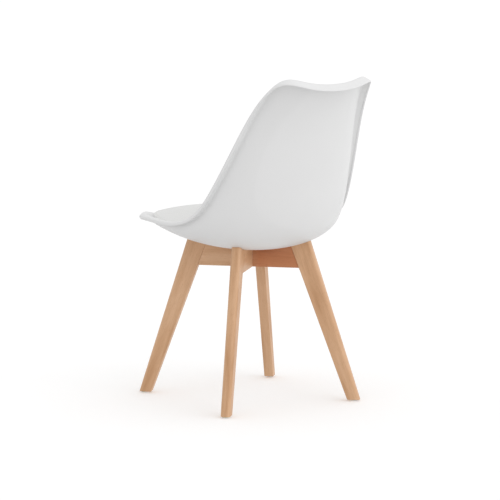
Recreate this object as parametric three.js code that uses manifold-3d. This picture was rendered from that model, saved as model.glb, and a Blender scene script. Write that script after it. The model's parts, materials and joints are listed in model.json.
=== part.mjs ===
// A dining chair: a moulded plastic bucket with a padded seat, on a crossed frame of four splayed
// beech legs. Millimetres, +Z up, the sitter faces -Y. The model is laid out about the point on the
// floor under the crossing of the two rails, and the whole chair is then moved along Y so that the
// origin lies under the middle of its outline.
import * as THREE from "three";
import { mergeVertices } from "three/addons/utils/BufferGeometryUtils.js";
import Module from "manifold-3d";

const wasm = await Module();
wasm.setup();

// Bucket
const bucketWidth = 464; // across the rim at its widest station, inside the rolled edge
const bucketDepth = 541; // front station to top station
const bucketRise = 422; // lowest station to the top of the back, along the middle
const bucketFloor = 379; // height of the lowest station above the floor
const bucketFront = -194; // where the front station lies
const bucketWall = 4;
const rimPower = 4.1; // how square the rim's outline is, 2 being an ellipse
const rimCentre = 0.38; // where the outline's rings start, from 0 at the front to 1 at the top
const edgeRadius = 7; // the rolled edge turns outwards on this radius, at the wall's middle
const edgeTurn = { front: 95, side: 90, top: 101 }; // degrees
const edgeLip = { front: 12, side: 8.5, top: 19.5 }; // straight part after the turn

// One row for each station, front to back. spine is the middle of the bucket and rim its edge, as
// shares of the depth and rise (and, first for the rim, of the half width). flat is how far the
// floor runs level, and lift how late it turns up towards the rim.
const stations = [
  { spine: [0, 0.137], rim: [0.8, -0.006, 0.228], flat: 0.64, lift: 0.39 },
  { spine: [0.096, 0.102], rim: [0.93, 0.096, 0.191], flat: 0.6, lift: 0.43 },
  { spine: [0.277, 0.047], rim: [1, 0.244, 0.178], flat: 0.575, lift: 0.46 },
  { spine: [0.473, 0], rim: [0.975, 0.405, 0.161], flat: 0.57, lift: 0.485 },
  { spine: [0.654, 0.036], rim: [0.88, 0.534, 0.211], flat: 0.58, lift: 0.48 },
  { spine: [0.765, 0.256], rim: [0.805, 0.63, 0.379], flat: 0.585, lift: 0.405 },
  { spine: [0.834, 0.54], rim: [0.705, 0.728, 0.614], flat: 0.64, lift: 0.35 },
  { spine: [0.904, 0.796], rim: [0.6, 0.821, 0.874], flat: 0.74, lift: 0.35 },
  { spine: [1, 1], rim: [0.505, 0.95, 1.128], flat: 0.83, lift: 0.37 },
];

// Frame
const railDrop = 47; // lowest station of the bucket down to the rails' underside
const railThickness = 24;
const legThickness = 24;
const jointRadius = 129; // centre to the leg's inner face, at the rails' underside
const shoulderWidth = 49; // leg, level with the rails' underside
const footRadius = 269; // centre to the middle of a foot, on the floor
const footWidth = 31;
const legEdgeRadius = 6; // rounding of a leg's two outer edges
const dowelRadius = 4;
const dowelInRail = 14;
const dowelInLeg = 16;
const dowelHeights = [15, 37]; // up the joint, from the rails' underside

// Frame bolts, one for each half rail
const boltCentreRadius = 78;
const boltRadius = 3;
const boltHeadRadius = 5.2;
const boltHeadHeight = 3.6;
const boltHeadFlat = 3.9; // radius of the flat under its rounded edge
const boltHeadSide = 2; // height of its straight side
const boltHexRadius = 2.3;
const boltHexDepth = 2.2;
const boltPoint = 1; // chamfer on its end
const boltGrip = 30; // wood between the washer and the boss
const insertRadius = 4.5;
const insertLength = 12;
const insertGrooves = 1;
const insertGrooveDepth = 0.6;
const bossRadius = 8;
const bossHeight = 12;
const washerRadius = 6;
const washerThickness = 1.6;
const springRingRadius = 5.2;
const springRingThickness = 1.5;
const springRingSplit = 0.8;

// Pad
const padInset = 18; // pad's outline inside the rim, at the sides
const padOverhang = 3; // pad's front edge past the front station
const padLength = 365;
const padPower = 4;
const padRise = 99; // pad's top above the lowest station, at the pad's middle
const padDrop = 30; // how much lower its edge is
const crownShares = [1, 0.9, 0.75, 0.55, 0.3]; // rings of its top, from the edge inwards
const padSlope = -0.08; // the pad rises towards the front
const coverThickness = 1.5;
const boardThickness = 9;
const boardInset = 46; // board's outline inside the pad's
const boardRise = 54; // board's underside above the lowest station, at the pad's middle
const hemWidth = 20; // cover turned in under the board
const postRadius = 7.5;
const postRoof = 6;
const postPlaces = [[0, -108], [108, 0], [0, 78], [-108, 0]];
const screwRadius = 2;
const screwHeadRadius = 3.8;
const screwHeadHeight = 2.4;
const screwHeadFlat = 2.7; // radius of the flat on its domed head
const screwBite = 7; // into the board

// Feet
const glideRadius = 9.5;
const glideThickness = 3.2;
const glideEdge = 0.8;
const nailRadius = 1.2;
const nailLength = 18;
const nailHeadRadius = 3.5;
const nailHeadThickness = 1.2;
const nailRecess = 1; // nail head's underside above the floor

const gap = 0.3; // between any two pieces that touch
const holeSpare = 1; // empty depth past the end of a dowel, nail, bolt or screw
const cutReach = 900; // longer than anything that is trimmed
const pastFace = 1; // how far a cut runs past the face it opens

const railUnderside = bucketFloor - railDrop;
const halfWall = bucketWall / 2;
const finish = {
  shell: { color: 0xe6e6e6, roughness: 0.5, metalness: 0 },
  leather: { color: 0xeceae6, roughness: 0.55, metalness: 0 },
  foam: { color: 0xf0e8c8, roughness: 1, metalness: 0 },
  plywood: { color: 0xc9a878, roughness: 0.8, metalness: 0 },
  beech: { color: 0xd2a680, roughness: 0.55, metalness: 0 },
  steel: { color: 0x9a9ca0, roughness: 0.4, metalness: 1 },
  brass: { color: 0xb8964e, roughness: 0.4, metalness: 1 },
  glide: { color: 0xe9e7e0, roughness: 0.45, metalness: 0 },
};

const chair = new THREE.Group();

function addPiece(name, solid, look) {
  const { numProp, vertProperties, triVerts } = solid.getMesh();
  const geometry = new THREE.BufferGeometry();
  geometry.setAttribute("position", new THREE.BufferAttribute(vertProperties, numProp));
  geometry.setIndex(new THREE.BufferAttribute(triVerts, 1));
  geometry.computeVertexNormals();
  const mesh = new THREE.Mesh(geometry, new THREE.MeshStandardMaterial(look));
  mesh.name = name;
  chair.add(mesh);
  return mesh;
}

// A closed geometry as a solid that can be joined and cut.
function solidFrom(geometry) {
  const bare = geometry.clone();
  bare.deleteAttribute("normal");
  bare.deleteAttribute("uv");
  const merged = mergeVertices(bare, 1e-4);
  return new wasm.Manifold(new wasm.Mesh({
    numProp: 3,
    vertProperties: merged.attributes.position.array,
    triVerts: new Uint32Array(merged.index.array),
  }));
}

// A closed body through rings of equal count, shut by a fan at each end. From ring backFrom on, the
// faces are split along their other diagonal.
function loft(startPoint, rings, endPoint, backFrom = Infinity) {
  const count = rings[0].length;
  const points = [startPoint, ...rings.flat(), endPoint];
  const last = points.length - 1;
  const faces = [];
  for (let i = 0; i < count; i += 1) {
    const next = (i + 1) % count;
    faces.push(0, 1 + next, 1 + i);
    for (let ring = 0; ring < rings.length - 1; ring += 1) {
      const low = 1 + ring * count;
      const high = low + count;
      const [a, b, c, d] = [low + i, low + next, high + next, high + i];
      faces.push(...(ring < backFrom ? [a, b, c, a, c, d] : [a, b, d, b, c, d]));
    }
    faces.push(last, last - count + i, last - count + next);
  }
  const geometry = new THREE.BufferGeometry().setFromPoints(points);
  geometry.setIndex(faces);
  return solidFrom(geometry);
}

// A round rod between two points; a second radius makes it a cone.
function rod(from, to, radius, sides = 20, endRadius = radius) {
  const along = new THREE.Vector3().subVectors(to, from);
  const geometry = new THREE.CylinderGeometry(endRadius, radius, along.length(), sides);
  const turn = new THREE.Quaternion().setFromUnitVectors(
    new THREE.Vector3(0, 1, 0),
    along.clone().normalize(),
  );
  geometry.applyQuaternion(turn);
  geometry.translate(...from.clone().add(to).multiplyScalar(0.5).toArray());
  return solidFrom(geometry);
}

function uprightRod(x, y, bottom, top, radius, sides) {
  return rod(new THREE.Vector3(x, y, bottom), new THREE.Vector3(x, y, top), radius, sides);
}

// A profile of [radius, height] points turned about the upright line through x, y. A profile that
// leaves the axis free closes on itself.
function turned(profile, x, y, sides = 20) {
  const points = profile.map(([radius, height]) => new THREE.Vector2(radius, height));
  const geometry = new THREE.LatheGeometry(points, sides);
  geometry.rotateX(Math.PI / 2);
  geometry.translate(x, y, 0);
  return solidFrom(geometry);
}

// Bucket surface

// Smooth values between the stations: a cubic B-spline, carried on straight at both ends.
const stationValues = stations.map(({ spine, rim, flat, lift }) => [
  bucketFront + spine[0] * bucketDepth,
  bucketFloor + spine[1] * bucketRise,
  (rim[0] * bucketWidth) / 2,
  bucketFront + rim[1] * bucketDepth,
  bucketFloor + rim[2] * bucketRise,
  flat,
  lift,
]);
const carryOn = (end, before) => end.map((value, i) => 2 * value - before[i]);
const knots = [
  carryOn(stationValues[0], stationValues[1]),
  ...stationValues,
  carryOn(stationValues.at(-1), stationValues.at(-2)),
];

function stationAt(place) {
  const spans = stations.length - 1;
  const scaled = THREE.MathUtils.clamp(place * spans, 0, spans - 1e-9);
  const index = Math.floor(scaled);
  const t = scaled - index;
  const weights = [
    (1 - t) ** 3,
    3 * t ** 3 - 6 * t ** 2 + 4,
    -3 * t ** 3 + 3 * t ** 2 + 3 * t + 1,
    t ** 3,
  ];
  return stationValues[0].map((_, column) =>
    weights.reduce((sum, weight, k) => sum + (weight * knots[index + k][column]) / 6, 0));
}

// A point of the wall's middle surface: across runs from -1 to 1 between the rims, place from 0 at
// the front to 1 at the top.
function wallPoint(across, place) {
  const [spineY, spineZ, rimX, rimY, rimZ, flat, lift] = stationAt(place);
  const t = Math.abs(across);
  const out = 3 * (1 - t) ** 2 * t * flat + 3 * (1 - t) * t ** 2 + t ** 3;
  const rise = 3 * (1 - t) * t ** 2 * (1 - lift) + t ** 3;
  return new THREE.Vector3(
    Math.sign(across) * rimX * out,
    spineY + (rimY - spineY) * rise,
    spineZ + (rimZ - spineZ) * rise,
  );
}

// The same surface in rings about its centre: share is 0 at the centre and 1 at the rim.
function ringPoint(share, angle) {
  const [c, s] = [Math.cos(angle), Math.sin(angle)];
  const reach = share * (Math.abs(c) ** rimPower + Math.abs(s) ** rimPower) ** (-1 / rimPower);
  const room = s > 0 ? 1 - rimCentre : rimCentre;
  return wallPoint(reach * c, rimCentre + reach * s * room);
}

const aroundCount = 40;
const ringCount = 7;
const edgeSteps = 3;
const small = 1e-3;
const angles = Array.from({ length: aroundCount }, (_, i) => (i * 2 * Math.PI) / aroundCount);
const wallRings = Array.from({ length: ringCount }, (_, i) =>
  angles.map((angle) => ringPoint((i + 1) / ringCount, angle)));

// Part way between the edge's front, side and top values, by the angle round the rim.
function edgeValue({ front, side, top }, angle) {
  const s = Math.sin(angle);
  return side + (s > 0 ? top - side : front - side) * s * s;
}

// The rolled edge: rings that turn outwards from the rim on edgeRadius and then run straight.
const edgeFrames = angles.map((angle) => {
  const rim = ringPoint(1, angle);
  const along = ringPoint(1, angle + small).sub(ringPoint(1, angle - small)).normalize();
  const outwards = rim.clone().sub(ringPoint(1 - small, angle));
  const below = along.clone().cross(outwards).normalize();
  outwards.crossVectors(below, along);
  return { rim, outwards, below, turn: THREE.MathUtils.degToRad(edgeValue(edgeTurn, angle)) };
});
const alongEdge = ({ rim, outwards, below }, out, down) =>
  rim.clone().addScaledVector(outwards, out).addScaledVector(below, down);
const edgeRings = Array.from({ length: edgeSteps }, (_, i) =>
  edgeFrames.map((frame) => {
    const turn = (frame.turn * (i + 1)) / edgeSteps;
    return alongEdge(frame, edgeRadius * Math.sin(turn), edgeRadius * (1 - Math.cos(turn)));
  }));
edgeRings.push(edgeFrames.map((frame, i) => {
  const lip = edgeValue(edgeLip, angles[i]);
  const [c, s] = [Math.cos(frame.turn), Math.sin(frame.turn)];
  return alongEdge(frame, edgeRadius * s + lip * c, edgeRadius * (1 - c) + lip * s);
}));

// Moves every ring along the surface's normal, which points away from the sitter.
function offsetRings(rings, distance) {
  const centre = wallPoint(0, rimCentre);
  return rings.map((ring, r) => ring.map((point, i) => {
    const ahead = ring[(i + 1) % aroundCount];
    const behind = ring[(i + aroundCount - 1) % aroundCount];
    const inner = r > 0 ? rings[r - 1][i] : centre;
    const outer = rings[Math.min(r + 1, rings.length - 1)][i];
    const normal = ahead.clone().sub(behind).cross(outer.clone().sub(inner)).normalize();
    return point.clone().addScaledVector(normal, distance);
  }));
}

const centreAt = (distance) => wallPoint(0, rimCentre).add(new THREE.Vector3(0, 0, -distance));

// Everything on the sitter's side of a surface that lies below the wall's middle by distance.
function bowlSpace(distance) {
  const farAbove = new THREE.Vector3(0, bucketFront - bucketDepth, bucketFloor + 4 * bucketRise);
  return loft(centreAt(distance), offsetRings(wallRings, distance), farAbove);
}

// The upper side's faces are split as bowlSpace splits them, so that the pad clears them evenly.
function bucketBody() {
  const rings = [...wallRings, ...edgeRings];
  const under = offsetRings(rings, halfWall);
  const upper = offsetRings(rings, -halfWall).reverse();
  return loft(centreAt(halfWall), [...under, ...upper], centreAt(-halfWall), rings.length);
}

const outsideOfBucket = bowlSpace(halfWall + gap);
const bareBucket = bucketBody();

// Height of the bucket's underside over a point of the floor.
const probe = new THREE.Raycaster();
const bucketProbe = new THREE.Mesh(new THREE.BufferGeometry());
{
  const { vertProperties, triVerts } = bareBucket.getMesh();
  bucketProbe.geometry.setAttribute("position", new THREE.BufferAttribute(vertProperties, 3));
  bucketProbe.geometry.setIndex(new THREE.BufferAttribute(triVerts, 1));
}
function undersideAt(x, y) {
  probe.set(new THREE.Vector3(x, y, 0), new THREE.Vector3(0, 0, 1));
  return probe.intersectObject(bucketProbe)[0].point.z;
}

// Pad

const padMiddle = bucketFront - padOverhang + padLength / 2;
const padTop = bucketFloor + padRise;
const boardUnderside = bucketFloor + boardRise;
const onSlope = (height, y) => height + padSlope * (y - padMiddle);

// An outline inside the pad's own, as a ring of [x, y]; share draws it in towards its centre.
function padOutline(inset, share = 1) {
  const halfWidth = bucketWidth / 2 - padInset - inset;
  const halfDepth = padLength / 2 - inset;
  return angles.map((angle) => {
    const [c, s] = [Math.cos(angle), Math.sin(angle)];
    const reach = share * (Math.abs(c) ** padPower + Math.abs(s) ** padPower) ** (-1 / padPower);
    return [halfWidth * reach * c, padMiddle + halfDepth * reach * s];
  });
}

// A plate of the pad's outline between two heights at its middle, on the pad's slope.
function padPlate(inset, bottom, top) {
  const ringAt = (height) =>
    padOutline(inset).map(([x, y]) => new THREE.Vector3(x, y, onSlope(height, y)));
  const middleAt = (height) => new THREE.Vector3(0, padMiddle, height);
  return loft(middleAt(bottom), [ringAt(bottom), ringAt(top)], middleAt(top));
}

// The pad's own body, drawn in by inset on every side and kept clear of the bucket.
function padBody(inset) {
  const bottom = boardUnderside - coverThickness - gap + inset;
  const topRings = crownShares.map((share) =>
    padOutline(inset, share).map(([x, y]) =>
      new THREE.Vector3(x, y, onSlope(padTop - inset - padDrop * share ** 3, y))));
  const bottomRing = padOutline(inset).map(([x, y]) => new THREE.Vector3(x, y, onSlope(bottom, y)));
  const body = loft(
    new THREE.Vector3(0, padMiddle, bottom),
    [bottomRing, ...topRings],
    new THREE.Vector3(0, padMiddle, padTop - inset),
  );
  return body.intersect(bowlSpace(-halfWall - gap - inset));
}

const boardTop = boardUnderside + boardThickness;
const boardSpace = padPlate(boardInset - gap, boardUnderside - gap, boardTop + gap);
const hemOpening = padPlate(boardInset + hemWidth, boardUnderside - 2 * coverThickness, boardTop);
addPiece("cushion_cover", padBody(0).subtract(padBody(coverThickness)).subtract(hemOpening),
  finish.leather);
addPiece("cushion_foam",
  padBody(coverThickness + gap)
    .subtract(boardSpace)
    .subtract(padPlate(boardInset + hemWidth, 0, boardTop)),
  finish.foam);

let board = padPlate(boardInset, boardUnderside, boardTop);
let posts = null;
let bucket = bareBucket;
postPlaces.forEach(([x, y], i) => {
  const underBoard = onSlope(boardUnderside, y);
  const headSeat = underBoard - gap - postRoof;
  const screwTop = underBoard + screwBite;
  const post = uprightRod(x, y, undersideAt(x, y) + halfWall, underBoard + gap, postRadius);
  posts = posts ? posts.add(post) : post;
  board = board.subtract(
    uprightRod(x, y, underBoard - postRadius, screwTop + holeSpare, screwRadius + gap, 12));
  const screwProfile = [
    [0, headSeat - gap - screwHeadHeight],
    [screwHeadFlat, headSeat - gap - screwHeadHeight],
    [screwHeadRadius, headSeat - gap - screwHeadHeight / 2],
    [screwHeadRadius, headSeat - gap],
    [screwRadius, headSeat - gap],
    [screwRadius, screwTop - screwRadius],
    [0, screwTop],
  ];
  addPiece(`cushion_screw_${i + 1}`, turned(screwProfile, x, y, 12), finish.steel);
});
addPiece("cushion_board", board, finish.plywood);

// Posts end just under the board, and are hollow from below up to their roof.
bucket = bucket.add(posts.subtract(boardSpace));
postPlaces.forEach(([x, y]) => {
  const headSeat = onSlope(boardUnderside, y) - gap - postRoof;
  bucket = bucket
    .subtract(uprightRod(x, y, 0, headSeat, screwHeadRadius + gap, 16))
    .subtract(uprightRod(x, y, 0, padTop, screwRadius + gap, 12));
});

// Frame, in the upright plane of one leg: out from the centre, and up.

const legNames = ["rear_left", "rear_right", "front_right", "front_left"];
const cornerAngles = [45, 135, 225, 315].map((angle) => THREE.MathUtils.degToRad(angle));
const footTop = glideThickness + gap;
const innerLean = (jointRadius - (footRadius - footWidth / 2)) / railUnderside;
const outerLean = (jointRadius + shoulderWidth - footRadius - footWidth / 2) / railUnderside;
const innerRadiusAt = (height) => footRadius - footWidth / 2 + innerLean * height;
const outerRadiusAt = (height) => footRadius + footWidth / 2 + outerLean * height;
const tallest = bucketFloor + bucketRise / 3; // above any part of the bucket that the frame meets

// A point of the plane that stands at an angle round the chair.
function atCorner(angle, out, up, aside = 0) {
  return new THREE.Vector3(
    out * Math.cos(angle) - aside * Math.sin(angle),
    out * Math.sin(angle) + aside * Math.cos(angle),
    up,
  );
}

// A flat board in that plane, from an outline of [out, up] points; rounding bevels its edges.
function boardInPlane(angle, outline, thickness, rounding = 0) {
  const shape = new THREE.Shape(outline.map(([out, up]) => new THREE.Vector2(out, up)));
  const geometry = new THREE.ExtrudeGeometry(shape, {
    depth: thickness - 2 * rounding,
    bevelEnabled: rounding > 0,
    bevelThickness: rounding,
    bevelSize: rounding,
    bevelOffset: -rounding,
    bevelSegments: 3,
  });
  geometry.translate(0, 0, rounding - thickness / 2);
  geometry.rotateX(Math.PI / 2);
  geometry.rotateZ(angle);
  return solidFrom(geometry);
}

// Everything in the plane on the centre's side of a leg's inner face, moved out by spare.
function insideOfLeg(angle, spare, thickness = 2 * legThickness) {
  return boardInPlane(angle, [
    [-cutReach, -cutReach],
    [innerRadiusAt(-cutReach) + spare, -cutReach],
    [innerRadiusAt(tallest) + spare, tallest],
    [-cutReach, tallest],
  ], thickness);
}

// The two dowels of a joint lie square to the leg's inner face.
const jointSlope = Math.atan(innerLean);
function dowelEnds(angle, upJoint, spare) {
  const up = railUnderside + upJoint * Math.cos(jointSlope);
  const out = innerRadiusAt(up);
  const reach = (distance) => atCorner(
    angle,
    out + distance * Math.cos(jointSlope),
    up - distance * Math.sin(jointSlope),
  );
  return [reach(-dowelInRail - spare), reach(dowelInLeg + spare)];
}
function dowelHoles(angle) {
  const [low, high] = dowelHeights.map((height) =>
    rod(...dowelEnds(angle, height, holeSpare), dowelRadius + gap, 12));
  return low.add(high);
}

function addFoot(name, angle) {
  const { x, y } = atCorner(angle, footRadius, 0);
  const hole = nailRadius + gap;
  const nailTop = nailRecess + nailHeadThickness;
  addPiece(`glide_${name}`, turned([
    [nailHeadRadius + gap, 0],
    [glideRadius - glideEdge, 0],
    [glideRadius, glideEdge],
    [glideRadius, glideThickness - glideEdge],
    [glideRadius - glideEdge, glideThickness],
    [hole, glideThickness],
    [hole, nailTop + gap],
    [nailHeadRadius + gap, nailTop + gap],
    [nailHeadRadius + gap, 0],
  ], x, y, 16), finish.glide);
  addPiece(`glide_nail_${name}`, turned([
    [0, nailRecess],
    [nailHeadRadius, nailRecess],
    [nailHeadRadius, nailTop],
    [nailRadius, nailTop],
    [nailRadius, nailTop + nailLength - 2 * nailRadius],
    [0, nailTop + nailLength],
  ], x, y, 12), finish.steel);
  return uprightRod(x, y, 0, nailTop + nailLength + holeSpare, hole, 12);
}

legNames.forEach((name, i) => {
  const angle = cornerAngles[i];
  const legBoard = boardInPlane(angle, [
    [innerRadiusAt(-footWidth) - 2 * legEdgeRadius, -footWidth],
    [outerRadiusAt(-footWidth), -footWidth],
    [outerRadiusAt(tallest), tallest],
    [innerRadiusAt(tallest) - 2 * legEdgeRadius, tallest],
  ], legThickness, legEdgeRadius);
  const floorCut = boardInPlane(angle, [
    [0, -cutReach],
    [cutReach, -cutReach],
    [cutReach, footTop],
    [0, footTop],
  ], 2 * legThickness);
  const leg = legBoard
    .subtract(insideOfLeg(angle, 0))
    .subtract(floorCut)
    .subtract(outsideOfBucket)
    .subtract(dowelHoles(angle))
    .subtract(addFoot(name, angle));
  addPiece(`leg_${name}`, leg, finish.beech);
  dowelHeights.forEach((height, k) => {
    const [from, to] = dowelEnds(angle, height, 0);
    const level = k ? "upper" : "lower";
    addPiece(`dowel_${name}_${level}`, rod(from, to, dowelRadius, 12), finish.beech);
  });
});

// Frame bolts. Each boss ends bossHeight under the bucket, in a pocket of the rail, and its bolt
// head is sunk into the rail's underside.
function boltPlace(angle) {
  const { x, y } = atCorner(angle, boltCentreRadius, 0);
  const bossTop = undersideAt(x, y);
  const bossEnd = bossTop - bossHeight;
  const washerSeat = bossEnd - gap - boltGrip;
  return { x, y, bossTop, bossEnd, washerSeat, insertTop: bossEnd + insertLength };
}

function railHoles(angle) {
  const { x, y, bossEnd, washerSeat } = boltPlace(angle);
  return uprightRod(x, y, bossEnd - gap, tallest, bossRadius + gap)
    .add(uprightRod(x, y, railUnderside - pastFace, washerSeat, washerRadius + 2 * gap))
    .add(uprightRod(x, y, washerSeat - pastFace, bossEnd, boltRadius + gap, 16));
}

// A rail runs between the inner faces of two opposite legs. The two rails are halved into each
// other: one keeps its lower half at the crossing and the other its upper half.
function rail(angle, lapFrom, lapTo) {
  const reach = innerRadiusAt(railUnderside) - gap;
  const highReach = innerRadiusAt(tallest) - gap;
  const half = railThickness / 2 + gap;
  const lap = [[-half, lapFrom], [half, lapFrom], [half, lapTo], [-half, lapTo]];
  return boardInPlane(angle, [
    [-reach, railUnderside],
    [reach, railUnderside],
    [highReach, tallest],
    [-highReach, tallest],
  ], railThickness)
    .subtract(boardInPlane(angle, lap, 2 * railThickness))
    .subtract(outsideOfBucket)
    .subtract(dowelHoles(angle))
    .subtract(dowelHoles(angle + Math.PI))
    .subtract(railHoles(angle))
    .subtract(railHoles(angle + Math.PI));
}

const lapHeight = railUnderside + railDrop / 2;
addPiece("cross_rail_lower", rail(cornerAngles[1], lapHeight, tallest + pastFace), finish.beech);
addPiece("cross_rail_upper", rail(cornerAngles[0], 0, lapHeight + gap), finish.beech);

// Profile of a round piece with a hole, closed on itself.
const tube = (inner, outer, bottom, top) =>
  [[inner, bottom], [outer, bottom], [outer, top], [inner, top], [inner, bottom]];

function insertProfile(bottom, top) {
  const hole = boltRadius + gap;
  const step = (top - bottom) / (2 * insertGrooves + 1);
  const outside = [];
  for (let band = 0; band <= 2 * insertGrooves; band += 1) {
    const radius = band % 2 ? insertRadius - insertGrooveDepth : insertRadius;
    outside.push([radius, bottom + band * step], [radius, bottom + (band + 1) * step]);
  }
  return [[hole, bottom], ...outside, [hole, top], [hole, bottom]];
}

cornerAngles.forEach((angle, i) => {
  const { x, y, bossTop, bossEnd, washerSeat, insertTop } = boltPlace(angle);
  bucket = bucket
    .add(uprightRod(x, y, bossEnd, bossTop + halfWall, bossRadius))
    .subtract(uprightRod(x, y, bossEnd - pastFace, insertTop + gap, insertRadius + gap));
  addPiece(`threaded_insert_${i + 1}`, turned(insertProfile(bossEnd, insertTop), x, y, 16),
    finish.brass);

  const washerBottom = washerSeat - gap - washerThickness;
  addPiece(`flat_washer_${i + 1}`,
    turned(tube(boltRadius + gap, washerRadius, washerBottom, washerSeat - gap), x, y, 16),
    finish.steel);

  const springTop = washerBottom - gap;
  const springBottom = springTop - springRingThickness;
  const ring = turned(tube(boltRadius + gap, springRingRadius, springBottom, springTop), x, y, 20);
  const slit = new THREE.BoxGeometry(washerRadius, springRingSplit, 3 * springRingThickness);
  slit.translate(x + washerRadius / 2, y, (springBottom + springTop) / 2);
  addPiece(`spring_washer_${i + 1}`, ring.subtract(solidFrom(slit)), finish.steel);

  const headTop = springBottom - gap;
  const headBottom = headTop - boltHeadHeight;
  const boltEnd = insertTop - holeSpare;
  const shank = turned([
    [0, headBottom],
    [boltHeadFlat, headBottom],
    [boltHeadRadius, headTop - boltHeadSide],
    [boltHeadRadius, headTop],
    [boltRadius, headTop],
    [boltRadius, boltEnd - boltPoint],
    [boltRadius - boltPoint, boltEnd],
    [0, boltEnd],
  ], x, y, 18);
  const hex = uprightRod(x, y, headBottom - pastFace, headBottom + boltHexDepth, boltHexRadius, 6);
  addPiece(`frame_bolt_${i + 1}`, shank.subtract(hex), finish.steel);
});
addPiece("seat_shell", bucket, finish.shell);

// The origin lies under the middle of the whole outline.
const outline = new THREE.Box3().setFromObject(chair);
chair.position.y = -(outline.min.y + outline.max.y) / 2;

export default chair;
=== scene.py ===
import json
import math

import bmesh
import bpy
from mathutils import Matrix, Vector
from mathutils.bvhtree import BVHTree

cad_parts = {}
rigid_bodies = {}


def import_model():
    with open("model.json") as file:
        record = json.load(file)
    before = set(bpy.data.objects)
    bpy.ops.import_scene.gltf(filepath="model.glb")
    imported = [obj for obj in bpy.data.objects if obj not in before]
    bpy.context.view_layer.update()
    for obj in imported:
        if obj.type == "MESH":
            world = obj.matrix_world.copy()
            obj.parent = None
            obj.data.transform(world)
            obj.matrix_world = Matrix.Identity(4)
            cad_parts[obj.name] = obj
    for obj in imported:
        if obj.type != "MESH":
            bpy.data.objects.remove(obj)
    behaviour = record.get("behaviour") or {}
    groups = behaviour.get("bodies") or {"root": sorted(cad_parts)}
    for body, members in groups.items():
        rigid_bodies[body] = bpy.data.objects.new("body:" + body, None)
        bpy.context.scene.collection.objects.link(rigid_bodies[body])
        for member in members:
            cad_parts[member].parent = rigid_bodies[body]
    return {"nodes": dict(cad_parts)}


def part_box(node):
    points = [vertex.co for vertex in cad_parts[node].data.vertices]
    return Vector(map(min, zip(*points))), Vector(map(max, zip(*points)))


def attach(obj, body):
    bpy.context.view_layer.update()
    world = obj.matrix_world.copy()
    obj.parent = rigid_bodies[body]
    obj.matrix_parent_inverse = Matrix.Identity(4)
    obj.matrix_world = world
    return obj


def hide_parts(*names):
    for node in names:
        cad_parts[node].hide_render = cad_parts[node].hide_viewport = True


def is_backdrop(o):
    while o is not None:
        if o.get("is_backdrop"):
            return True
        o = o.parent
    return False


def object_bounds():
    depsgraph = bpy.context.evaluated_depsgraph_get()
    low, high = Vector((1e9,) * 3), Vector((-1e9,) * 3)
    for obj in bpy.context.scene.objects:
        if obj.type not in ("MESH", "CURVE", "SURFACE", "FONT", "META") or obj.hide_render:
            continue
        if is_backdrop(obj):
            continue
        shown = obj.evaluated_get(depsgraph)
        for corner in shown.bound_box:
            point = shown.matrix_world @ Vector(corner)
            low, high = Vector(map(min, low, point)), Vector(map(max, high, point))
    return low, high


# A dining chair: moulded bucket, leather-look pad and a crossed beech frame.
for leftOver in list(bpy.data.objects):
    bpy.data.objects.remove(leftOver)

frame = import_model()
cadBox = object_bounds()
cadNodes = frame["nodes"]
cornerAngles = {"rear_left": 45, "rear_right": 135, "front_right": 225, "front_left": 315}


def middleOf(node):
    low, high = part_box(node)
    return (low + high) / 2


# Everything is laid out about the point on the floor under the crossing of the rails.
crossing = sum((middleOf(f"glide_{corner}") for corner in cornerAngles), Vector()) / 4
crossing.z = 0
print("frame loaded, rails cross over", tuple(round(c, 4) for c in crossing))


# Small helpers


def finishMesh(name, bm, material):
    mesh = bpy.data.meshes.new(name)
    bm.to_mesh(mesh)
    bm.free()
    piece = bpy.data.objects.new(name, mesh)
    bpy.context.scene.collection.objects.link(piece)
    if material:
        mesh.materials.append(material)
    for face in mesh.polygons:
        face.use_smooth = True
    return piece


def bakeModifiers(piece):
    # leaves the piece as the plain mesh that its modifiers make
    bpy.context.view_layer.update()
    seen = piece.evaluated_get(bpy.context.evaluated_depsgraph_get())
    baked = bpy.data.meshes.new_from_object(seen)
    piece.modifiers.clear()
    piece.data = baked
    return piece


def addSubdivision(piece, levels):
    subdivision = piece.modifiers.new("subdivision", "SUBSURF")
    subdivision.levels = levels
    subdivision.render_levels = levels


def combine(piece, others, operation):
    for other in others:
        step = piece.modifiers.new("combine", "BOOLEAN")
        step.operation = operation
        step.solver = "EXACT"
        step.object = other
    bakeModifiers(piece)
    for other in others:
        if other.get("keepCutter") is None:
            bpy.data.objects.remove(other)
    return piece


def cutWith(piece, cutters):
    return combine(piece, cutters, "DIFFERENCE")


def shadeByAngle(piece, degrees):
    # smooth over gentle edges, sharp over the rest
    bm = bmesh.new()
    bm.from_mesh(piece.data)
    for edge in bm.edges:
        turns = len(edge.link_faces) == 2 and edge.calc_face_angle(0) > math.radians(degrees)
        edge.smooth = not turns
    for face in bm.faces:
        face.smooth = True
    bm.to_mesh(piece.data)
    bm.free()
    return piece


def settle(piece, slot, *nodes):
    # every finished piece rides on the one body of the chair
    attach(piece, "root")
    if nodes:
        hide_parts(*nodes)
    return piece


def ringDisc(segments, reaches):
    # a flat disc of rings, whose radii are the reaches, ready to be shaped
    bm = bmesh.new()
    bmesh.ops.create_circle(bm, cap_ends=True, cap_tris=True, segments=segments, radius=reaches[0])
    for before, after in zip(reaches, reaches[1:]):
        rimEdges = [edge for edge in bm.edges if edge.is_boundary]
        grown = bmesh.ops.extrude_edge_only(bm, edges=rimEdges)["geom"]
        newVerts = [item for item in grown if isinstance(item, bmesh.types.BMVert)]
        bmesh.ops.scale(bm, vec=(after / before, after / before, 1), verts=newVerts)
    bm.normal_update()
    return bm


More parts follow.
